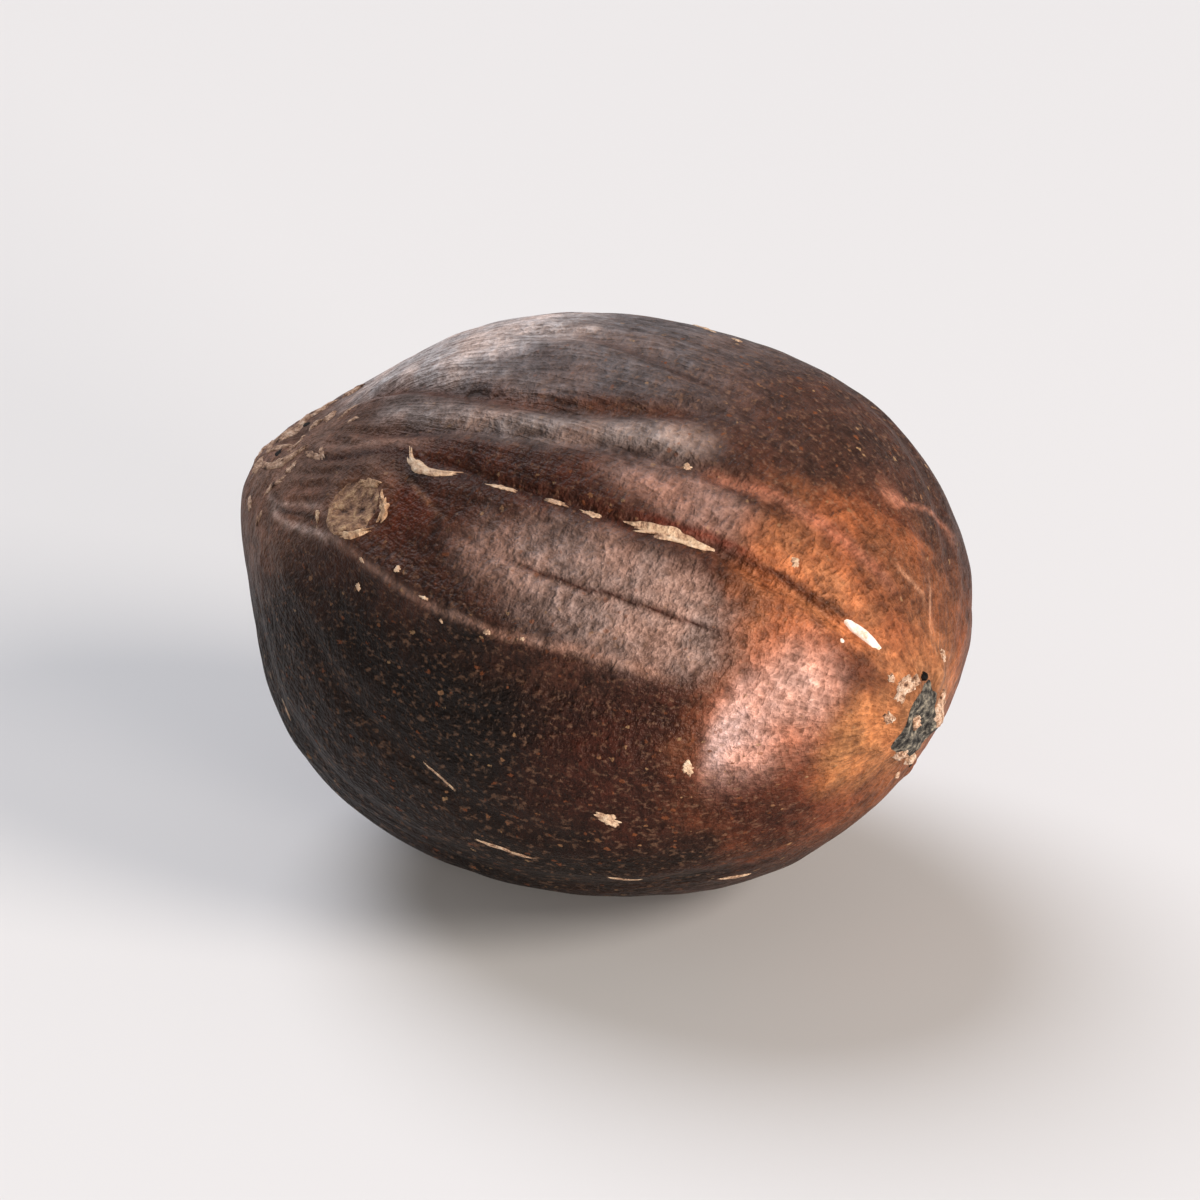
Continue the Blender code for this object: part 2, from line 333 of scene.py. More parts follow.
def meshObject(name, points, faceGroups, attributes, material):
    # one mesh from arrays: its points, loops and faces, and one attribute for each named array
    mesh = bpy.data.meshes.new(name)
    loops = np.concatenate([faces.ravel() for faces in faceGroups])
    sizes = np.concatenate([np.full(len(faces), faces.shape[1]) for faces in faceGroups])
    mesh.vertices.add(len(points))
    mesh.vertices.foreach_set("co", (points * mm).ravel())
    mesh.loops.add(len(loops))
    mesh.loops.foreach_set("vertex_index", loops)
    mesh.polygons.add(len(sizes))
    mesh.polygons.foreach_set("loop_start", np.concatenate([[0], np.cumsum(sizes)[:-1]]))
    mesh.update(calc_edges=True)
    mesh.validate()
    for key, values in attributes.items():
        isVector = values.ndim == 2
        layer = mesh.attributes.new(key, "FLOAT_VECTOR" if isVector else "FLOAT", "POINT")
        layer.data.foreach_set("vector" if isVector else "value", values.astype(np.float32).ravel())
    mesh.shade_smooth()
    mesh.materials.append(material)
    piece = bpy.data.objects.new(name, mesh)
    bpy.context.scene.collection.objects.link(piece)
    return piece


def linear(hexColour):
    # an sRGB hex value as linear red, green, blue and full alpha
    values = [int(hexColour[n:n + 2], 16) / 255 for n in (1, 3, 5)]
    return [v / 12.92 if v <= 0.04045 else ((v + 0.055) / 1.055) ** 2.4 for v in values] + [1.0]


def add(tree, kind, inputs=None, out=0, stops=None, **settings):
    # adds one node and returns one of its outputs. An input that is a socket is linked, and any other is set;
    # stops are a ramp's places, each with a hex colour
    made = tree.nodes.new("ShaderNode" + kind)
    for key, value in settings.items():
        setattr(made, key, value)
    for place, value in (inputs or {}).items():
        if isinstance(value, bpy.types.NodeSocket):
            tree.links.new(value, made.inputs[place])
        else:
            made.inputs[place].default_value = linear(value) if isinstance(value, str) else value
    for number, (place, colour) in enumerate(stops or []):
        if number == len(made.color_ramp.elements):
            made.color_ramp.elements.new(place)
        made.color_ramp.elements[number].position = place
        made.color_ramp.elements[number].color = linear(colour)
    return made.outputs[out]


def newMaterial(name):
    # a node tree with its output and one Principled shader
    material = bpy.data.materials.new(name)
    material.use_nodes = True
    return material, material.node_tree, material.node_tree.nodes["Principled BSDF"]


# Where the coat is what colour, painted in this order. An oval has its centre and half sizes in degrees along
# and round; a line has its places in those degrees and a half width in millimetres.
# Some ovals and lines below are wholly or partly painted light: painted shade, sheen and highlights, each
# marked where it stands.
ovals = [
    # what is seen, colour, strength, centre, half sizes, softness
    ("rusty brown of the far side", "#5a3627", 0.7, (100, -150), (50, 34), 0.5),
    ("worn patch of the far side", "#7d6258", 0.8, (86, 176), (34, 20), 0.4),
    ("grey bloom of the far side", "#5d5450", 0.7, (60, -118), (36, 22), 0.5),
    # partly grey bloom, partly painted sheen: the top, and most of all its part towards the apex, is painted
    # lighter as if the sky above shone on it
    ("grey bloom with painted sheen on top", "#696567", 0.95, (54, -70), (56, 45), 0.35),
    ("bloom and painted sheen towards the apex", "#c8c5c6", 0.95, (34, -66), (27, 36), 0.4),
    ("brown of the upper fuller end", "#412a21", 0.9, (124, -62), (34, 34), 0.5),
    ("brown between furrow and raphe", "#3a1e15", 0.9, (70, 3), (26, 7), 0.5),
    ("mauve above the raphe", "#8b726a", 0.85, (105, -9), (18, 8), 0.4),
    ("brown beyond the chalaza", "#3d2116", 0.85, (58, 24), (20, 17), 0.6),
    # partly mauve skin, partly painted sheen where this side faces the light above
    ("mauve below the raphe, partly painted sheen", "#92807a", 0.95, (103, 23), (31, 14), 0.4),
    ("red brown beside the chalaza", "#4f2413", 0.85, (51, 26), (7, 9), 0.6),
    # painted shadow cast by the bent scrap
    ("painted shadow under the bent scrap", "#1c0f0b", 0.85, (48, 14), (5, 4), 0.5),
    ("tan halo of the chalaza", "#7a5a48", 0.75, (40, 31), (8, 15), 0.6),
    # painted shade: the low side and the hollow under the fold are darkened as if turned away from the light,
    # over the skin's own dark brown
    ("low side, dark brown and painted shade", "#160d09", 1.0, (80, 100), (56, 56), 0.35),
    ("painted shade in the hollow under the fold", "#0b0706", 0.8, (90, 68), (32, 14), 0.5),
    ("red brown before the fuller end", "#3a1c13", 0.9, (120, 66), (18, 24), 0.6),
    ("low side of the apex", "#6e5142", 0.8, (18, 50), (18, 80), 0.5),
]
# Places round, and how far along the rust begins there
rustEdge = [(-180, 150), (-130, 152), (-85, 152), (-62, 142), (-44, 131), (-28, 116), (-4, 119), (17, 127),
            (38, 129), (73, 131), (99, 139), (130, 147), (180, 150)]
rustOvals = [
    ("orange along the raphe", "#b0744d", 0.9, (143, -8), (24, 11), 0.5),
    ("orange below the raphe", "#955f40", 0.75, (134, 10), (12, 12), 0.5),
    # painted highlight: these four stand in for the broad broken highlight on the fuller end
    ("pinkish brown of the painted highlight", "#a87763", 0.85, (144, 38), (13, 27), 0.4),
    ("painted highlight near the raphe", "#cba79c", 0.85, (147, 27), (7, 15), 0.9),
    ("painted highlight lower down", "#c4a39b", 0.85, (139, 51), (6, 19), 0.8),
    ("brightest painted highlight, a thin crescent", "#cdb6b4", 0.8, (135, 50), (2.6, 15), 0.8),
    ("red brown under the fuller end", "#35170d", 0.85, (138, 94), (15, 27), 0.5),
    ("amber spot by the hilum", "#e39a48", 0.9, (169, 63), (4, 16), 0.5),
    ("tan beside the hilum", "#b07c50", 0.85, (166, 62), (10, 46), 0.5),
]
lines = [
    # what is seen, colour, strength, places, half width
    ("first furrow", "#4a2d20", 0.9,
     [(19, -39), (24, -34), (32, -27), (46, -20.5), (60, -19), (76, -25.5), (96, -32)], 0.50),
    # partly grey bloom, partly painted reflection of the light above on the ridge
    ("grey ridge with painted reflection", "#948b88", 0.95, [(28, -13), (47, -11), (62, -11), (78, -17), (100, -24)], 0.90),
    ("second furrow", "#2c150f", 0.5, [(34, 1), (45, -4), (61, -8), (74, -14), (102, -16), (124, -19)], 0.24),
    ("rusty edge of the second crest", "#a8705a", 0.7, [(104, -18), (120, -23), (137, -28), (150, -34)], 0.4),
    ("third furrow", "#40302b", 0.7, [(60, -53), (74, -48), (84, -44), (100, -43)], 0.35),
    ("raphe", "#341b13", 0.75, [(43, 6), (54, 10), (64, 8), (90, 5), (107, 1), (126, -3), (150, -8)], 0.2),
    ("red edge of the raphe", "#5e2413", 0.8, [(98, 0), (110, -2), (122, -4)], 0.24),
    ("fine crack in the mauve", "#3a1f17", 1.0, [(80, 25), (92, 24), (103, 22), (125, 20)], 0.14),
    # painted highlight along the crest of the fold
    ("painted highlight on the crest of the fold", "#957b70", 0.7, [(44, 45), (74, 44), (87, 42), (100, 38), (118, 37)], 0.2),
    ("pale line on the shoulder", "#b98570", 0.65, [(132, -56), (136, -60), (138, -74), (141, -90)], 0.55),
    # painted shade below the shoulder
    ("painted shade at the foot of the shoulder", "#35180f", 0.7, [(128, -42), (140, -56), (147, -74)], 0.35),
    # the two pleat lines are grey with painted highlight on their crests, and painted shade lies between them
    ("upper pleat by the chalaza, grey with painted highlight", "#a5948c", 0.85, [(18, 76), (20, 70), (26, 52), (33, 42)], 0.20),
    ("shade between the pleats", "#23160f", 0.85, [(20, 72), (24, 63), (30, 52), (38, 44)], 0.20),
    ("lower pleat by the chalaza, grey with painted highlight", "#a5948c", 0.85, [(21, 72), (30, 60), (36, 52), (44, 46)], 0.24),
    ("dark wrinkle from the apex", "#35190f", 0.85, [(12, 31), (24, 20), (35, 11), (43, 6)], 0.22),
    ("light wrinkle above it", "#8d7468", 0.8, [(14, 16), (26, 10), (36, 4), (46, 2)], 0.30),
    ("tan line below the bent scrap", "#8a6a52", 0.5, [(49, 16), (61, 22)], 0.13),
    ("dark red stretch of the raphe", "#45200f", 0.7, [(124, -3), (130, -4), (139, -4), (147, -5)], 0.2),
    ("left wipe by the hilum", "#d8a888", 0.7, [(148, -42), (151, -46), (155, -53)], 0.16),
    ("right wipe by the hilum", "#d8a888", 0.7, [(153, -63), (157, -60), (161, -56)], 0.16),
]
rustTone = {"upper": "#7b4c30", "lower": "#643826", "base": "#3f2820"}
lowerRust = ((160, 60), (40, 70), 0.5)  # where the rust is of the lower tone: centre, half sizes, softness
halos = [
    # colour and strength round a scar, its middle, and the millimetres where the colour begins and is full
    ("#a97650", 0.85, hilumPoint, 3.8, 1.2),
    ("#86695a", 0.85, apexPoint, 3.4, 1.0),
]
# How far the paint strays with the noise: an oval's edge in half sizes, the rust's edge and a line in
# degrees, and a halo's edge in millimetres
stray = {"oval": 0.28, "rust": 7, "line": 1.2, "halo": 0.8}
blend = {"rust": (-8, 9), "rustOval": (-10, 6), "lineEnds": (5, 6)}  # degrees over which the paint fades

# How strong each fine pattern is everywhere, and how much stronger in ovals given by centre and half sizes:
# strokes across the seed, fibres along it, netting, flecks and shine
patterns = {
    "strokes": (0.45, [(0.35, (98, 20), (40, 34)), (0.5, (143, 40), (16, 28)), (0.5, (140, -20), (26, 30)),
                       (-0.3, (50, -70), (40, 34))]),
    "fibres": (0.25, [(0.45, (54, -62), (50, 44)), (0.3, (90, 150), (50, 60)), (0.3, (66, -8), (30, 14))]),
    "netting": (0.30, [(0.2, (143, 38), (16, 30)), (0.4, (100, -150), (50, 30)), (0.3, (60, 60), (40, 50))]),
    "flecks": (0.32, [(0.4, (80, 84), (62, 60)), (0.2, (70, 2), (30, 10)), (0.65, (114, -58), (46, 36)),
                      (0.3, (150, 95), (30, 60))]),
    "shine": (0.40, [(0.6, (142, 30), (24, 46)), (0.3, (143, 38), (13, 22)), (0.3, (100, 24), (30, 16)),
                     (-0.3, (52, -70), (50, 40))]),
}


def paintCoat(along, around, points, radius):
    # linear colour of the bare coat at each point, with its painted shade, sheen and highlights, and the
    # strength there of each fine pattern
    grain = grainOf(along, around)
    # noise of three sizes, the largest drawn out along the seed
    uneven = 0.6 * cloud(grain, 2.6, 61) + 0.45 * cloud(points, 1.0, 62) + 0.25 * cloud(points, 0.5, 63)
    colour = np.tile(linear(rustTone["base"])[:3], (len(along), 1))

    def oval(centre, half, soft):
        # 1 inside and 0 outside: distance from the centre in half sizes, pushed about by noise
        far = np.hypot((along - centre[0]) / half[0], turnFrom(around, centre[1]) / half[1])
        return ease(1 + soft, 1 - soft, far + stray["oval"] * uneven)

    def lay(hexColour, share):
        # the colour so far, moved towards another by the share at each point
        return colour + (np.array(linear(hexColour)[:3]) - colour) * share[:, None]

    for _, tint, strength, centre, half, soft in ovals:
        colour = lay(tint, strength * oval(centre, half, soft))
    edgeRound, edgeAlong = np.array(rustEdge, dtype=float).T
    past = along - np.interp(turnFrom(around, 0), edgeRound, edgeAlong) + stray["rust"] * uneven
    rust = ease(*blend["rust"], past)
    colour = lay(rustTone["upper"], rust)
    colour = lay(rustTone["lower"], rust * oval(*lowerRust))
    for _, tint, strength, centre, half, soft in rustOvals:
        colour = lay(tint, strength * oval(centre, half, soft) * ease(*blend["rustOval"], past))
    for tint, strength, middle, begins, full in halos:
        away = np.linalg.norm(points - middle, axis=1)
        colour = lay(tint, strength * ease(begins, full, away + stray["halo"] * uneven))
    fadeIn, fadeOut = blend["lineEnds"]
    for _, tint, strength, places, half in lines:
        lineAlong, lineAround = np.array(places, dtype=float).T
        middle = np.interp(along, lineAlong, lineAround) + stray["line"] * uneven
        reach = ease(lineAlong[0] - fadeIn, lineAlong[0] + fadeIn, along)
        reach *= ease(lineAlong[-1] + fadeOut, lineAlong[-1] - fadeOut, along)
        distance = np.radians(turnFrom(around, middle)) * radius
        colour = lay(tint, strength * reach * bell(distance, half))
    layers = {"grain": grain, "tint": colour}
    for name, (base, places) in patterns.items():
        extra = sum(amount * oval(centre, half, 0.5) for amount, centre, half in places)
        layers[name] = np.clip(base + extra, 0, 1)
    return layers


coat = {
    "valley": "#c4b2a8", "crest": "#ffffff", "gain": (0.44, 1.98),  # the tint is multiplied by these
    "warmth": (1.18, 0.98, 0.86), "warmShare": 0.35,  # and by this, most where the mottling is high
    "tone": 0.45,  # tone of the coat where no pattern changes it
    "warp": (0.30, 1.1),  # how far the grain is pushed about in millimetres, and cells in each millimetre
    "cells": (2.3, 2.3, 3.2), "cellEdge": 0.26,  # netting: cells in each millimetre, and width of its lines
    "speckle": "#85644e", "speckleCells": 4.4, "speckleNoise": (0.53, 0.74), "speckleMost": 0.50,
    "rustyFleck": (0.6, "#6b3c22"), "paleFleck": (0.9, "#9a7a58"), "fleckCells": 1.9, "fleckSize": 0.24,
    "fleckEdge": 0.07,
    "roughness": 0.66, "shineChange": -0.34, "lumpChange": -0.08, "gloss": 0.22, "glossTint": "#f0dcd2",
    "bumpDepth": 0.08,  # millimetres
}
# Noises stretched along or across the seed: cells in each millimetre round it and along it, detail, and the
# low and high values between which the contrast is kept
stretchedNoises = {
    "strokes": ((1.25, 1.25, 2.9), 2.5, 0.34, 0.66),
    "fibres": ((4.2, 4.2, 0.45), 2.0, 0.34, 0.66),
}
# Noises without a direction: cells in each millimetre, and the same
evenNoises = {"lumps": (1.9, 3.0, 0.3, 0.7), "grit": (6.0, 2.0, 0.3, 0.7), "mottle": (0.55, 4.0, 0.35, 0.65)}
# What each noise does: the painted strength that it follows, its part in the height and its part in the tone
noiseParts = {
    "strokes": ("strokes", 0.55, 0.30), "fibres": ("fibres", 0.70, 0.34), "cells": ("netting", 0.28, 0.12),
    "lumps": (None, 0.90, 0.28), "mottle": (None, 0, 0.16), "grit": (None, 0.35, 0.20),
}


def coatMaterial():
    # Nutmeg seed coat (testa): hard, dry and woody, with a thin natural wax.
    # The eye sees dark brown skin, finely wrinkled across and streaked along, with broken satin highlights,
    # a grey bloom over the top, a warm rust-coloured fuller end, and small tan and rusty flecks.
    # The painted tint also holds painted light: painted sheen over the top, painted highlights on the fuller
    # end, and painted shade on the low side and under the fold.
    material, tree, shader = newMaterial("waxySeedCoat")
    grain = add(tree, "Attribute", out="Vector", attribute_name="grain")
    tint = add(tree, "Attribute", out="Vector", attribute_name="tint")
    strength = {name: add(tree, "Attribute", out="Fac", attribute_name=name) for name in patterns}
    inPlace = add(tree, "TexCoord", out="Object")
    inMm = add(tree, "VectorMath", {0: inPlace, "Scale": 1 / mm}, operation="SCALE")

    # the grain pushed about a little, so that no line runs straight
    warp, warpCells = coat["warp"]
    push = add(tree, "TexNoise", {"Vector": inMm, "Scale": warpCells, "Detail": 2.0}, out="Color")
    bent = add(tree, "VectorMath", {0: push, 1: (warp,) * 3, 2: grain}, operation="MULTIPLY_ADD")

    # noises whose contrast is raised until they run from -0.5 to 0.5
    noise = {}
    for name, (scales, detail, low, high) in stretchedNoises.items():
        place = add(tree, "Mapping", {"Vector": bent, "Scale": scales})
        raw = add(tree, "TexNoise", {"Vector": place, "Scale": 1.0, "Detail": detail, "Distortion": 0.4})
        noise[name] = add(tree, "MapRange", {0: raw, 1: low, 2: high, 3: -0.5, 4: 0.5},
                          interpolation_type="SMOOTHSTEP")
    for name, (scale, detail, low, high) in evenNoises.items():
        raw = add(tree, "TexNoise", {"Vector": inMm, "Scale": scale, "Detail": detail, "Roughness": 0.6})
        noise[name] = add(tree, "MapRange", {0: raw, 1: low, 2: high, 3: -0.5, 4: 0.5},
                          interpolation_type="SMOOTHSTEP")

    # netting: small cells with sunken lines between them
    place = add(tree, "Mapping", {"Vector": bent, "Scale": coat["cells"]})
    edge = add(tree, "TexVoronoi", {"Vector": place, "Scale": 1.0}, out="Distance",
               feature="DISTANCE_TO_EDGE")
    noise["cells"] = add(tree, "MapRange", {0: edge, 1: 0.0, 2: coat["cellEdge"], 3: -0.7, 4: 0.3},
                         interpolation_type="SMOOTHSTEP")

    # height and tone are both sums of the noises, each as strong as painted
    sums = {"height": 0.0, "tone": coat["tone"]}
    for name, (painted, *parts) in noiseParts.items():
        for kind, part in zip(sums, parts):
            if not part:
                continue
            if painted:
                part = add(tree, "Math", {0: strength[painted], 1: part}, operation="MULTIPLY")
            sums[kind] = add(tree, "Math", {0: noise[name], 1: part, 2: sums[kind]}, operation="MULTIPLY_ADD")

    # the painted tint, lighter and paler where the tone is high, and warmer where the mottling is
    low, high = coat["gain"]
    gain = add(tree, "MapRange", {0: sums["tone"], 1: 0.0, 2: 1.0, 3: low, 4: high})
    hue = add(tree, "Mix", {0: sums["tone"], 6: coat["valley"], 7: coat["crest"]}, out=2, data_type="RGBA")
    colour = add(tree, "VectorMath", {0: tint, 1: hue}, operation="MULTIPLY")
    colour = add(tree, "VectorMath", {0: colour, "Scale": gain}, operation="SCALE")
    warmer = add(tree, "VectorMath", {0: colour, 1: coat["warmth"]}, operation="MULTIPLY")
    warmth = add(tree, "Math", {0: noise["mottle"], 1: coat["warmShare"]}, operation="ADD", use_clamp=True)
    colour = add(tree, "Mix", {0: warmth, 6: colour, 7: warmer}, out=2, data_type="RGBA")

    # brown speckle, which shows most on the black low side
    low, high = coat["speckleNoise"]
    speckle = add(tree, "TexNoise", {"Vector": bent, "Scale": coat["speckleCells"], "Detail": 2.0})
    speckle = add(tree, "MapRange", {0: speckle, 1: low, 2: high, 4: coat["speckleMost"]},
                  interpolation_type="SMOOTHSTEP")
    speckle = add(tree, "Math", {0: speckle, 1: strength["flecks"]}, operation="MULTIPLY")
    colour = add(tree, "Mix", {0: speckle, 6: colour, 7: coat["speckle"]}, out=2, data_type="RGBA")

    # flecks: dots at random places, whose first random number sets the size and whose second sets the colour
    chance = add(tree, "TexVoronoi", {"Vector": bent, "Scale": coat["fleckCells"]}, out="Color")
    fromMiddle = chance.node.outputs["Distance"]
    first = add(tree, "SeparateColor", {0: chance}, out=0)
    second = first.node.outputs[1]
    size = add(tree, "Math", {0: first, 1: coat["fleckSize"]}, operation="MULTIPLY")
    size = add(tree, "Math", {0: noise["grit"], 1: coat["fleckSize"], 2: size}, operation="MULTIPLY_ADD")
    inside = add(tree, "Math", {0: size, 1: fromMiddle}, operation="SUBTRACT")
    dot = add(tree, "MapRange", {0: inside, 1: 0.0, 2: coat["fleckEdge"]})
    dot = add(tree, "Math", {0: dot, 1: strength["flecks"]}, operation="MULTIPLY")
    fleckTint = add(tree, "ValToRGB", {0: second}, stops=[coat["rustyFleck"], coat["paleFleck"]])
    colour = add(tree, "Mix", {0: dot, 6: colour, 7: fleckTint}, out=2, data_type="RGBA")
    tree.links.new(colour, shader.inputs["Base Color"])

    # smoother where painted so and on the lumps
    rough = add(tree, "Math", {0: strength["shine"], 1: coat["shineChange"], 2: coat["roughness"]},
                operation="MULTIPLY_ADD")
    rough = add(tree, "Math", {0: noise["lumps"], 1: coat["lumpChange"], 2: rough}, operation="MULTIPLY_ADD")
    tree.links.new(rough, shader.inputs["Roughness"])
    shader.inputs["Specular IOR Level"].default_value = coat["gloss"]
    shader.inputs["Specular Tint"].default_value = linear(coat["glossTint"])
    bump = add(tree, "Bump", {"Height": sums["height"], "Distance": coat["bumpDepth"] * mm})
    tree.links.new(bump, shader.inputs["Normal"])
    return material


def gridPlaces():
    # degrees along and round for one pole, the rows between, and the other pole
    columns, rows = seed["columns"], seed["rows"]
    step = np.arange(1, rows) / rows * np.pi
    ring = np.degrees(step - seed["endCrowding"] * np.sin(2 * step))
    turn = np.arange(columns) * 360 / columns - 180
    along = np.concatenate([[0], np.repeat(ring, columns), [180]])
    around = np.concatenate([[0], np.tile(turn, rows - 1), [0]])
    return along, around


print("seed coat")
along, around = gridPlaces()
coatPoints, _ = seedSurface(along, around)
low, high = coatPoints.min(axis=0), coatPoints.max(axis=0)
# the box's middle over the origin, and as high as the solid
shift = np.array([(low[0] + high[0]) / 2, (low[1] + high[1]) / 2, high[2] - solidBox[1][2] / mm])
coatRadius = np.linalg.norm(coatPoints - np.outer(coatPoints @ seedAxis, seedAxis), axis=1)
layers = paintCoat(along, around, coatPoints, coatRadius)
coatPoints = coatPoints - shift
coatPoints[:, 2] = np.maximum(coatPoints[:, 2], 0)  # the small flat spot that it rests on
coatFaces = gridFaces(seed["columns"], seed["rows"])
nutmeg = meshObject("nutmegCoat", coatPoints, coatFaces, layers, coatMaterial())
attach(nutmeg, "root")
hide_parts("nutmeg")

print("flakes and scars")
# Thin scraps on the coat: each has its places along and round in degrees, and its half width and thickness
# in millimetres
scraps = {
    "paleFlakes": [
        ([(43, 5.0), (45.5, 9.5), (50, 11.5), (54, 11.0), (58.5, 8.4)], 0.19, 0.09),  # bent, by the chalaza
        ([(65, 8.2), (72, 7.3)], 0.10, 0.05), ([(78, 6.6), (82.5, 5.6)], 0.12, 0.06),
        ([(86, 5.3), (90.5, 5.0)], 0.12, 0.05),
        ([(96.5, 4.0), (101, 2.4), (107, 1.2), (113, 0.2)], 0.26, 0.09),  # the long scrap on the raphe
        ([(129, -9.5), (131, -10.5)], 0.17, 0.06), ([(115.5, 82), (119.5, 85)], 0.26, 0.06),
        ([(129, 61), (130.5, 66)], 0.20, 0.04), ([(131, 123), (135, 128)], 0.16, 0.05),
        ([(79, -78), (83, -76)], 0.13, 0.05), ([(86.5, -75), (88.5, -74)], 0.12, 0.05),
        ([(97, 100), (106, 102)], 0.11, 0.04), ([(117, 107), (122, 112)], 0.10, 0.04),
        ([(57, 111), (61, 113)], 0.07, 0.03), ([(84, 84), (92, 88)], 0.07, 0.03),
        ([(60, 40), (61, 41.5)], 0.12, 0.06), ([(83, 43), (84.5, 43)], 0.10, 0.05),
        ([(54, 52), (55.5, 53)], 0.11, 0.05), ([(52, 44.5), (53.5, 45)], 0.07, 0.04),
        ([(68, 43.5), (70, 43)], 0.06, 0.04), ([(74, 46), (75, 46.5)], 0.06, 0.03),
        ([(90, 41), (91, 40.6)], 0.06, 0.03), ([(98, -17), (100, -17.5)], 0.12, 0.05),
        ([(70, -150), (75, -148), (81, -149)], 0.20, 0.08), ([(100, 168), (109, 171)], 0.18, 0.07),
        ([(84, -104), (86, -103)], 0.14, 0.05), ([(122, -158), (127, -161)], 0.16, 0.06),
    ],
    # pale skin whose near-white is partly a painted glint
    "scrapedStreak": [([(147, -6), (153, -7), (159, -8)], 0.16, 0.07),
                      ([(149, 2), (150.2, 2.5)], 0.08, 0.04)],
    "chalazaScar": [([(34.6, 36), (47.8, 32)], 1.14, 0.05)],
    "chalazaRim": [([(37, 25), (41, 22.5), (44, 22.5)], 0.15, 0.09),
                   ([(46, 24), (49, 29), (49.6, 33)], 0.18, 0.10),
                   ([(49, 36), (47, 41), (44, 44)], 0.16, 0.08), ([(36, 47), (33.5, 44)], 0.12, 0.06)],
    "hilumScar": [([(172.5, -32), (178, 10), (176, 120), (166, 172)], 1.08, 0.10)],
    "hilumCrumbs": [
        ([(170, -22), (169.4, 2), (170, 14)], 0.30, 0.17),
        ([(171.4, -118), (173.5, -146), (173, -176)], 0.42, 0.15),
        ([(172, 116), (169.6, 134)], 0.26, 0.22), ([(169.6, 30), (169.8, 44)], 0.20, 0.12),
        ([(168, 158), (165, 160)], 0.24, 0.18), ([(176.6, 60), (178.6, 100)], 0.24, 0.26),
        ([(166, 4), (164.6, -2)], 0.14, 0.10), ([(167, -72), (168.5, -80)], 0.20, 0.12),
        ([(163, 150), (162.4, 154)], 0.15, 0.10),
    ],
    "apexCrust": [
        ([(7, 160), (5, -165), (7, -132), (12, -112)], 0.32, 0.10), ([(14, -106), (18, -96)], 0.26, 0.09),
        ([(9, 140), (12, 122)], 0.24, 0.08), ([(16, 112), (19, 106)], 0.16, 0.07),
        ([(4, 10), (7, 60)], 0.24, 0.08),
        ([(10, 130), (9.4, 96), (10, 62), (10, 24)], 0.20, 0.09), ([(8, -30), (9, -52)], 0.24, 0.09),
        ([(4, 60), (7, 140), (9, 172)], 0.18, 0.08), ([(12, 32), (19, 25)], 0.13, 0.06),
        ([(13, -20), (17, -30)], 0.13, 0.05),
        ([(15, 60), (16, 84)], 0.14, 0.06), ([(16, 18), (20, 25)], 0.12, 0.05),
        ([(20, 84), (23, 92)], 0.12, 0.05), ([(18, -8), (21, -12)], 0.11, 0.05),
        ([(12, 46), (14, 58)], 0.17, 0.07),
        ([(6, -60), (3, -20)], 0.20, 0.10), ([(13, 150), (14, -178)], 0.15, 0.07),
    ],
    "darkPits": [([(5.4, 176), (6.6, -168)], 0.20, 0.05), ([(3.5, -126), (4.8, -116)], 0.22, 0.04),
                 ([(5.6, 82), (6.2, 95)], 0.20, 0.04), ([(9.4, -124), (10.6, -116)], 0.18, 0.05),
                 ([(170.6, -30), (171.4, -36)], 0.15, 0.17), ([(161.4, 166), (160.8, 170)], 0.15, 0.05)],
}
scrap = {
    "spokes": 56, "rings": 9,
    "ragged": 0.30, "wander": 0.11,  # how far an outline strays, as a share of the half width, and its most
    "ownRagged": {"chalazaScar": 0.045, "scrapedStreak": 0.07, "chalazaRim": 0.40},
    "waves": 12,  # sine waves that make an outline stray
    "furthest": 1.3,  # and how far past its middle it may reach along the path, in half lengths
    "lumps": [(0.5, 0.35, 71), (0.3, 0.15, 72)],  # on the upper face: share of the thickness, cell, number
    "sunk": 0.015, "underside": 0.05,  # millimetres that the rim and the lower face lie under the coat
}


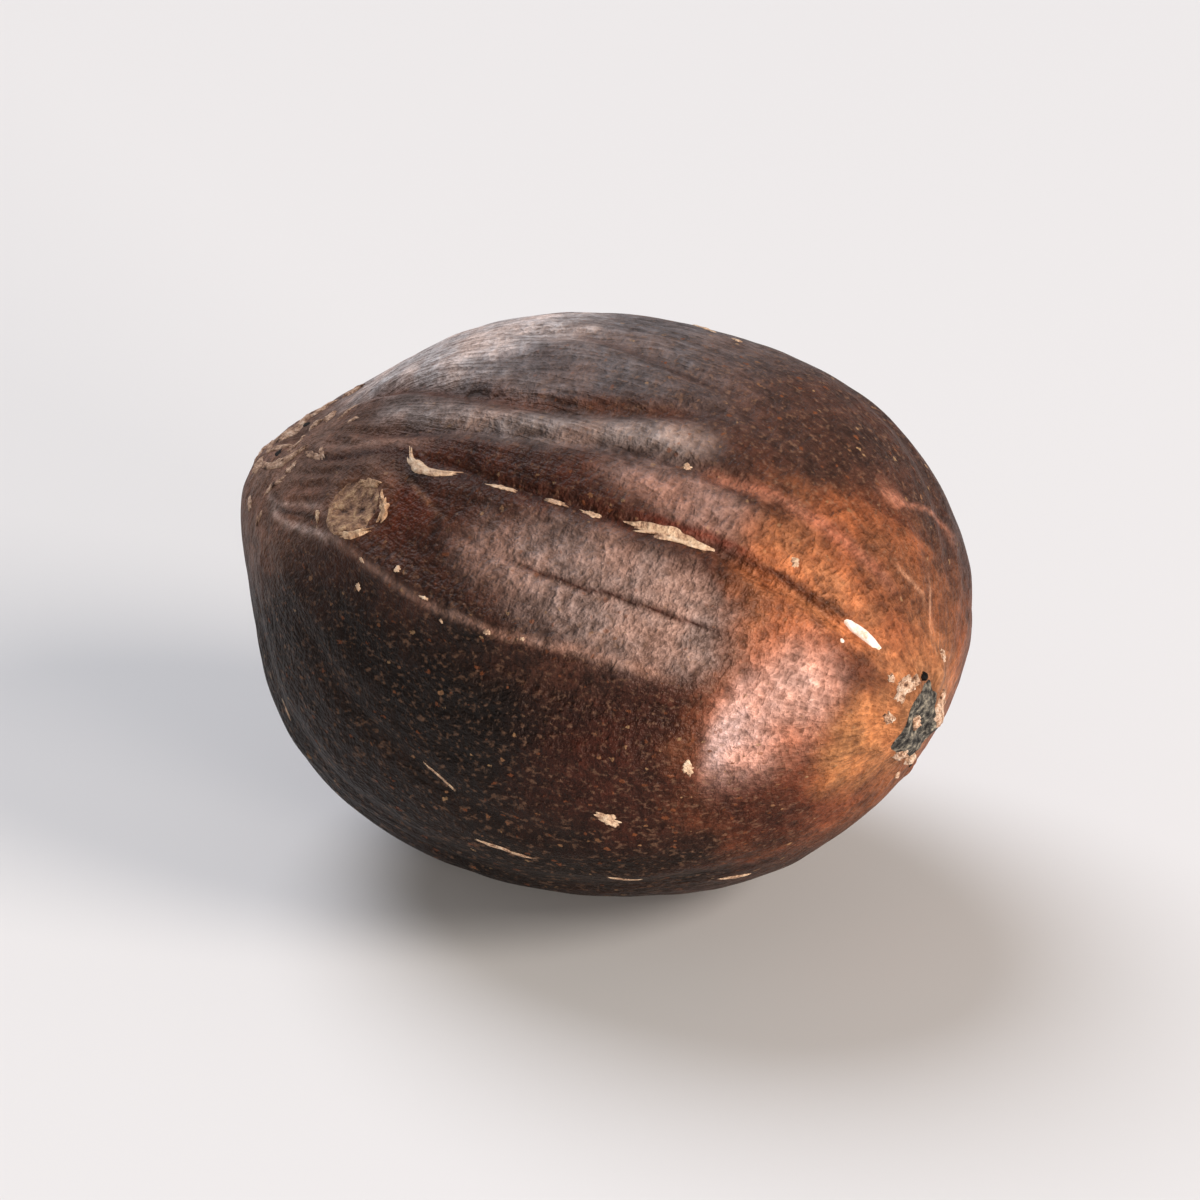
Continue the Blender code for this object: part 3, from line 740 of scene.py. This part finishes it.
def scrapPoints(places, halfWidth, thickness, ragged, draw):
    # A thin closed scrap laid along a path. Its outline is a circle of radius r and turn a, drawn out so that
    # r cos a is the share of the path and r sin a the share of the half width. The upper face is
    # thickness * (1 - r^6) high, roughened, and the lower face lies a little under the coat.
    knotAlong, knotAround = np.array(places, dtype=float).T
    knots = bodyPoints(seedDirections(knotAlong, knotAround))
    middle = (knots[0] + knots[-1]) / 2
    outward = unit(middle / halfSize ** 2)
    forwards = unit((knots[-1] - knots[0]) - ((knots[-1] - knots[0]) @ outward) * outward)
    sideways = np.cross(outward, forwards)
    flat = np.stack([(knots - middle) @ forwards, (knots - middle) @ sideways], axis=1)
    passed = np.concatenate([[0], np.cumsum(np.linalg.norm(np.diff(flat, axis=0), axis=1))])

    rings, spokes = scrap["rings"], scrap["spokes"]
    radii = np.sin(np.arange(1, rings + 1) / rings * np.pi / 2)
    turn = np.arange(spokes) / spokes * 2 * np.pi
    ringRadius = np.concatenate([[0], np.repeat(np.concatenate([radii, radii[-2::-1]]), spokes), [0]])
    ringTurn = np.concatenate([[0], np.tile(turn, 2 * rings - 1), [0]])
    isUpper = np.arange(len(ringRadius)) <= rings * spokes
    starts = draw.uniform(0, 2 * np.pi, size=scrap["waves"])
    wander = sum(np.sin((n + 2) * ringTurn + start) / (n + 2) ** 0.5 for n, start in enumerate(starts))
    reach = ringRadius * (1 + min(ragged, scrap["wander"] / halfWidth) * wander / 2)
    furthest = scrap["furthest"]
    place = (1 + np.clip(reach * np.cos(ringTurn), -furthest, furthest)) / 2 * passed[-1]
    centre = np.stack([np.interp(place, passed, flat[:, n]) for n in (0, 1)], axis=1)
    centre[:, 0] += place - np.clip(place, 0, passed[-1])
    centre[:, 1] += reach * np.sin(ringTurn) * halfWidth
    points = middle + centre[:, :1] * forwards + centre[:, 1:] * sideways
    surface, way = seedSurface(*placesOf(points))
    lumps = 1 + sum(amount * cloud(points, cell, number) for amount, cell, number in scrap["lumps"])
    upper = thickness * (1 - ringRadius ** 6) * lumps - scrap["sunk"]
    rise = np.where(isUpper, upper, -scrap["underside"])
    return surface + rise[:, None] * way - shift


def scrapObject(name, material):
    # all scraps of one kind as closed shells in one object
    draw = np.random.RandomState(len(name))
    ragged = scrap["ownRagged"].get(name, scrap["ragged"])
    faces = gridFaces(scrap["spokes"], 2 * scrap["rings"])
    points, groups = [], []
    for number, (places, halfWidth, thickness) in enumerate(scraps[name]):
        points.append(scrapPoints(places, halfWidth, thickness, ragged, draw))
        # the rings run from the top down, so each face is turned round to look outwards
        groups += [group[:, ::-1] + number * len(points[0]) for group in faces]
    piece = meshObject(name, np.concatenate(points), groups, {}, material)
    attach(piece, "root")


# Materials of the scraps: colours from hollows to crests, roughness, and in millimetres the size of the
# mottling and the depth of its relief
scrapLooks = {
    # pale inner skin left where the brown skin has flaked: cream, dull, with tan specks
    "paleFlakes": ("paleInnerSkin", ["#7a5a42", "#b8957a", "#d4b595", "#e0c8ae"], 0.6, 0.30, 0.20),
    # a fresh scrape down to the same skin: nearly white, smooth and glossy; its brightest white is a painted
    # glint
    "scrapedStreak": ("paleSkinWithPaintedGlint", ["#d8b9a0", "#f3e6da", "#fff8f0"], 0.28, 0.40, 0.08),
    # corky scar where the seed joined its kernel's cap: olive tan with black pores
    "chalazaScar": ("corkyChalaza", ["#432b1f", "#85614a", "#a68061", "#caa47e"], 0.75, 0.34, 0.40),
    # its crumbled rim: tan, lighter than the scar
    "chalazaRim": ("crumbledRim", ["#6a4a35", "#ac8463", "#cfa986", "#e6c7a2"], 0.70, 0.30, 0.32),
    # dead stalk tissue: charcoal and grey, rough and dull
    "hilumScar": ("charredStalkEnd", ["#100e0d", "#35322e", "#6f6a60", "#aaa08c"], 0.80, 0.28, 0.48),
    # crumbs of dried pulp round it: cream and pinkish
    "hilumCrumbs": ("driedPulp", ["#5e4030", "#b98f72", "#e2c0a4", "#f0dcc8"], 0.65, 0.22, 0.32),
    # crust at the slim end: tan, crumbly
    "apexCrust": ("driedTipCrust", ["#4a3022", "#a37e65", "#cba58a", "#e6c8ae"], 0.70, 0.34, 0.40),
    # openings and shaded pores: almost black
    "darkPits": ("shadedPore", ["#060403", "#120b08", "#1d120d"], 0.90, 0.30, 0.20),
}
mottling = {"from": 0.34, "over": 0.32, "gloss": 0.35}  # noise values that the colours span, and their gloss


def mottledMaterial(name, colours, roughness, size, depth):
    # colours laid in order over a noise of the given size, and the same noise as relief
    material, tree, shader = newMaterial(name)
    inPlace = add(tree, "TexCoord", out="Object")
    inMm = add(tree, "VectorMath", {0: inPlace, "Scale": 1 / mm}, operation="SCALE")
    speck = add(tree, "TexNoise", {"Vector": inMm, "Scale": 1 / size, "Detail": 4.0, "Roughness": 0.65})
    shares = np.linspace(0, 1, len(colours))
    stops = [(mottling["from"] + mottling["over"] * share, tint) for share, tint in zip(shares, colours)]
    tree.links.new(add(tree, "ValToRGB", {0: speck}, stops=stops), shader.inputs["Base Color"])
    shader.inputs["Roughness"].default_value = roughness
    shader.inputs["Specular IOR Level"].default_value = mottling["gloss"]
    bump = add(tree, "Bump", {"Height": speck, "Distance": depth * mm})
    tree.links.new(bump, shader.inputs["Normal"])
    return material


for kind, look in scrapLooks.items():
    scrapObject(kind, mottledMaterial(*look))

print("floor, light and camera")
studio = {
    "floorSize": 4.0,  # metres
    "floorColour": "#dddcdb", "floorRoughness": 0.9, "floorGloss": 0.1,
    "airColour": "#f2f2f2", "air": 0.27,
    "azimuth": 17.0, "elevation": 27.8, "lens": 250.0, "sensor": 36.0,
    "share": 0.62,  # the seed's share of the picture's width
    "clip": 20,  # the camera sees from its distance divided by this to its distance times this
}
suns = {
    # strength, colour, degrees round from the front, degrees up, degrees across
    "openSky": (2.4, "#f4f6ff", 232, 50, 40),
    "window": (1.9, "#fff4ea", 82, 33, 24),
}
lowPanel = {"strength": 1.4, "colour": "#fff2e8", "azimuth": 56, "elevation": 8, "away": 0.40,  # metres
            "size": (0.12, 0.09)}


def plainFloor():
    # a smooth pale ground, dull all over
    material, tree, shader = newMaterial("paleFloor")
    shader.inputs["Base Color"].default_value = linear(studio["floorColour"])
    shader.inputs["Roughness"].default_value = studio["floorRoughness"]
    shader.inputs["Specular IOR Level"].default_value = studio["floorGloss"]
    half = studio["floorSize"] / 2 / mm
    corners = np.array([(-half, -half, 0), (half, -half, 0), (half, half, 0), (-half, half, 0)])
    return meshObject("floor", corners, [np.array([[0, 1, 2, 3]])], {}, material)


def backVector(azimuth, elevation):
    # from the object towards the camera; azimuth 0 looks along +Y
    a, e = np.radians(azimuth), np.radians(elevation)
    return np.array([np.sin(a) * np.cos(e), -np.cos(a) * np.cos(e), np.sin(e)])


def aim(piece, place, target):
    # stands a camera or light at a place and points its -Z at the target
    piece.location = place
    piece.rotation_mode = "QUATERNION"
    piece.rotation_quaternion = Vector(np.asarray(target) - place).to_track_quat("-Z", "Y")


def newLight(name, kind, strength, colour, **settings):
    # one light in the scene, still to be aimed
    light = bpy.data.lights.new(name, kind)
    light.energy = strength
    light.color = linear(colour)[:3]
    for key, value in settings.items():
        setattr(light, key, value)
    lamp = bpy.data.objects.new(name, light)
    bpy.context.scene.collection.objects.link(lamp)
    return lamp


plainFloor()
middle = np.array([0, 0, solidBox[1][2] / 2])
for name, (strength, colour, azimuth, elevation, spread) in suns.items():
    sun = newLight(name, "SUN", strength, colour, angle=np.radians(spread))
    aim(sun, backVector(azimuth, elevation), (0, 0, 0))
panel = newLight("lowPanel", "AREA", lowPanel["strength"], lowPanel["colour"], shape="RECTANGLE",
                 size=lowPanel["size"][0], size_y=lowPanel["size"][1])
aim(panel, backVector(lowPanel["azimuth"], lowPanel["elevation"]) * lowPanel["away"], middle)

world = bpy.data.worlds.new("studioAir")
world.use_nodes = True
bpy.context.scene.world = world
background = world.node_tree.nodes["Background"]
background.inputs["Color"].default_value = linear(studio["airColour"])
background.inputs["Strength"].default_value = studio["air"]

camera = bpy.data.cameras.new("camera")
camera.lens = studio["lens"]
camera.sensor_width = studio["sensor"]
cameraPiece = bpy.data.objects.new("camera", camera)
bpy.context.scene.collection.objects.link(cameraPiece)
frameWidth = seed["length"] * mm / studio["share"]
away = frameWidth * camera.lens / camera.sensor_width
aim(cameraPiece, middle + backVector(studio["azimuth"], studio["elevation"]) * away, middle)
camera.clip_start, camera.clip_end = away / studio["clip"], away * studio["clip"]
bpy.context.scene.camera = cameraPiece
bpy.context.scene.view_settings.view_transform = "Standard"
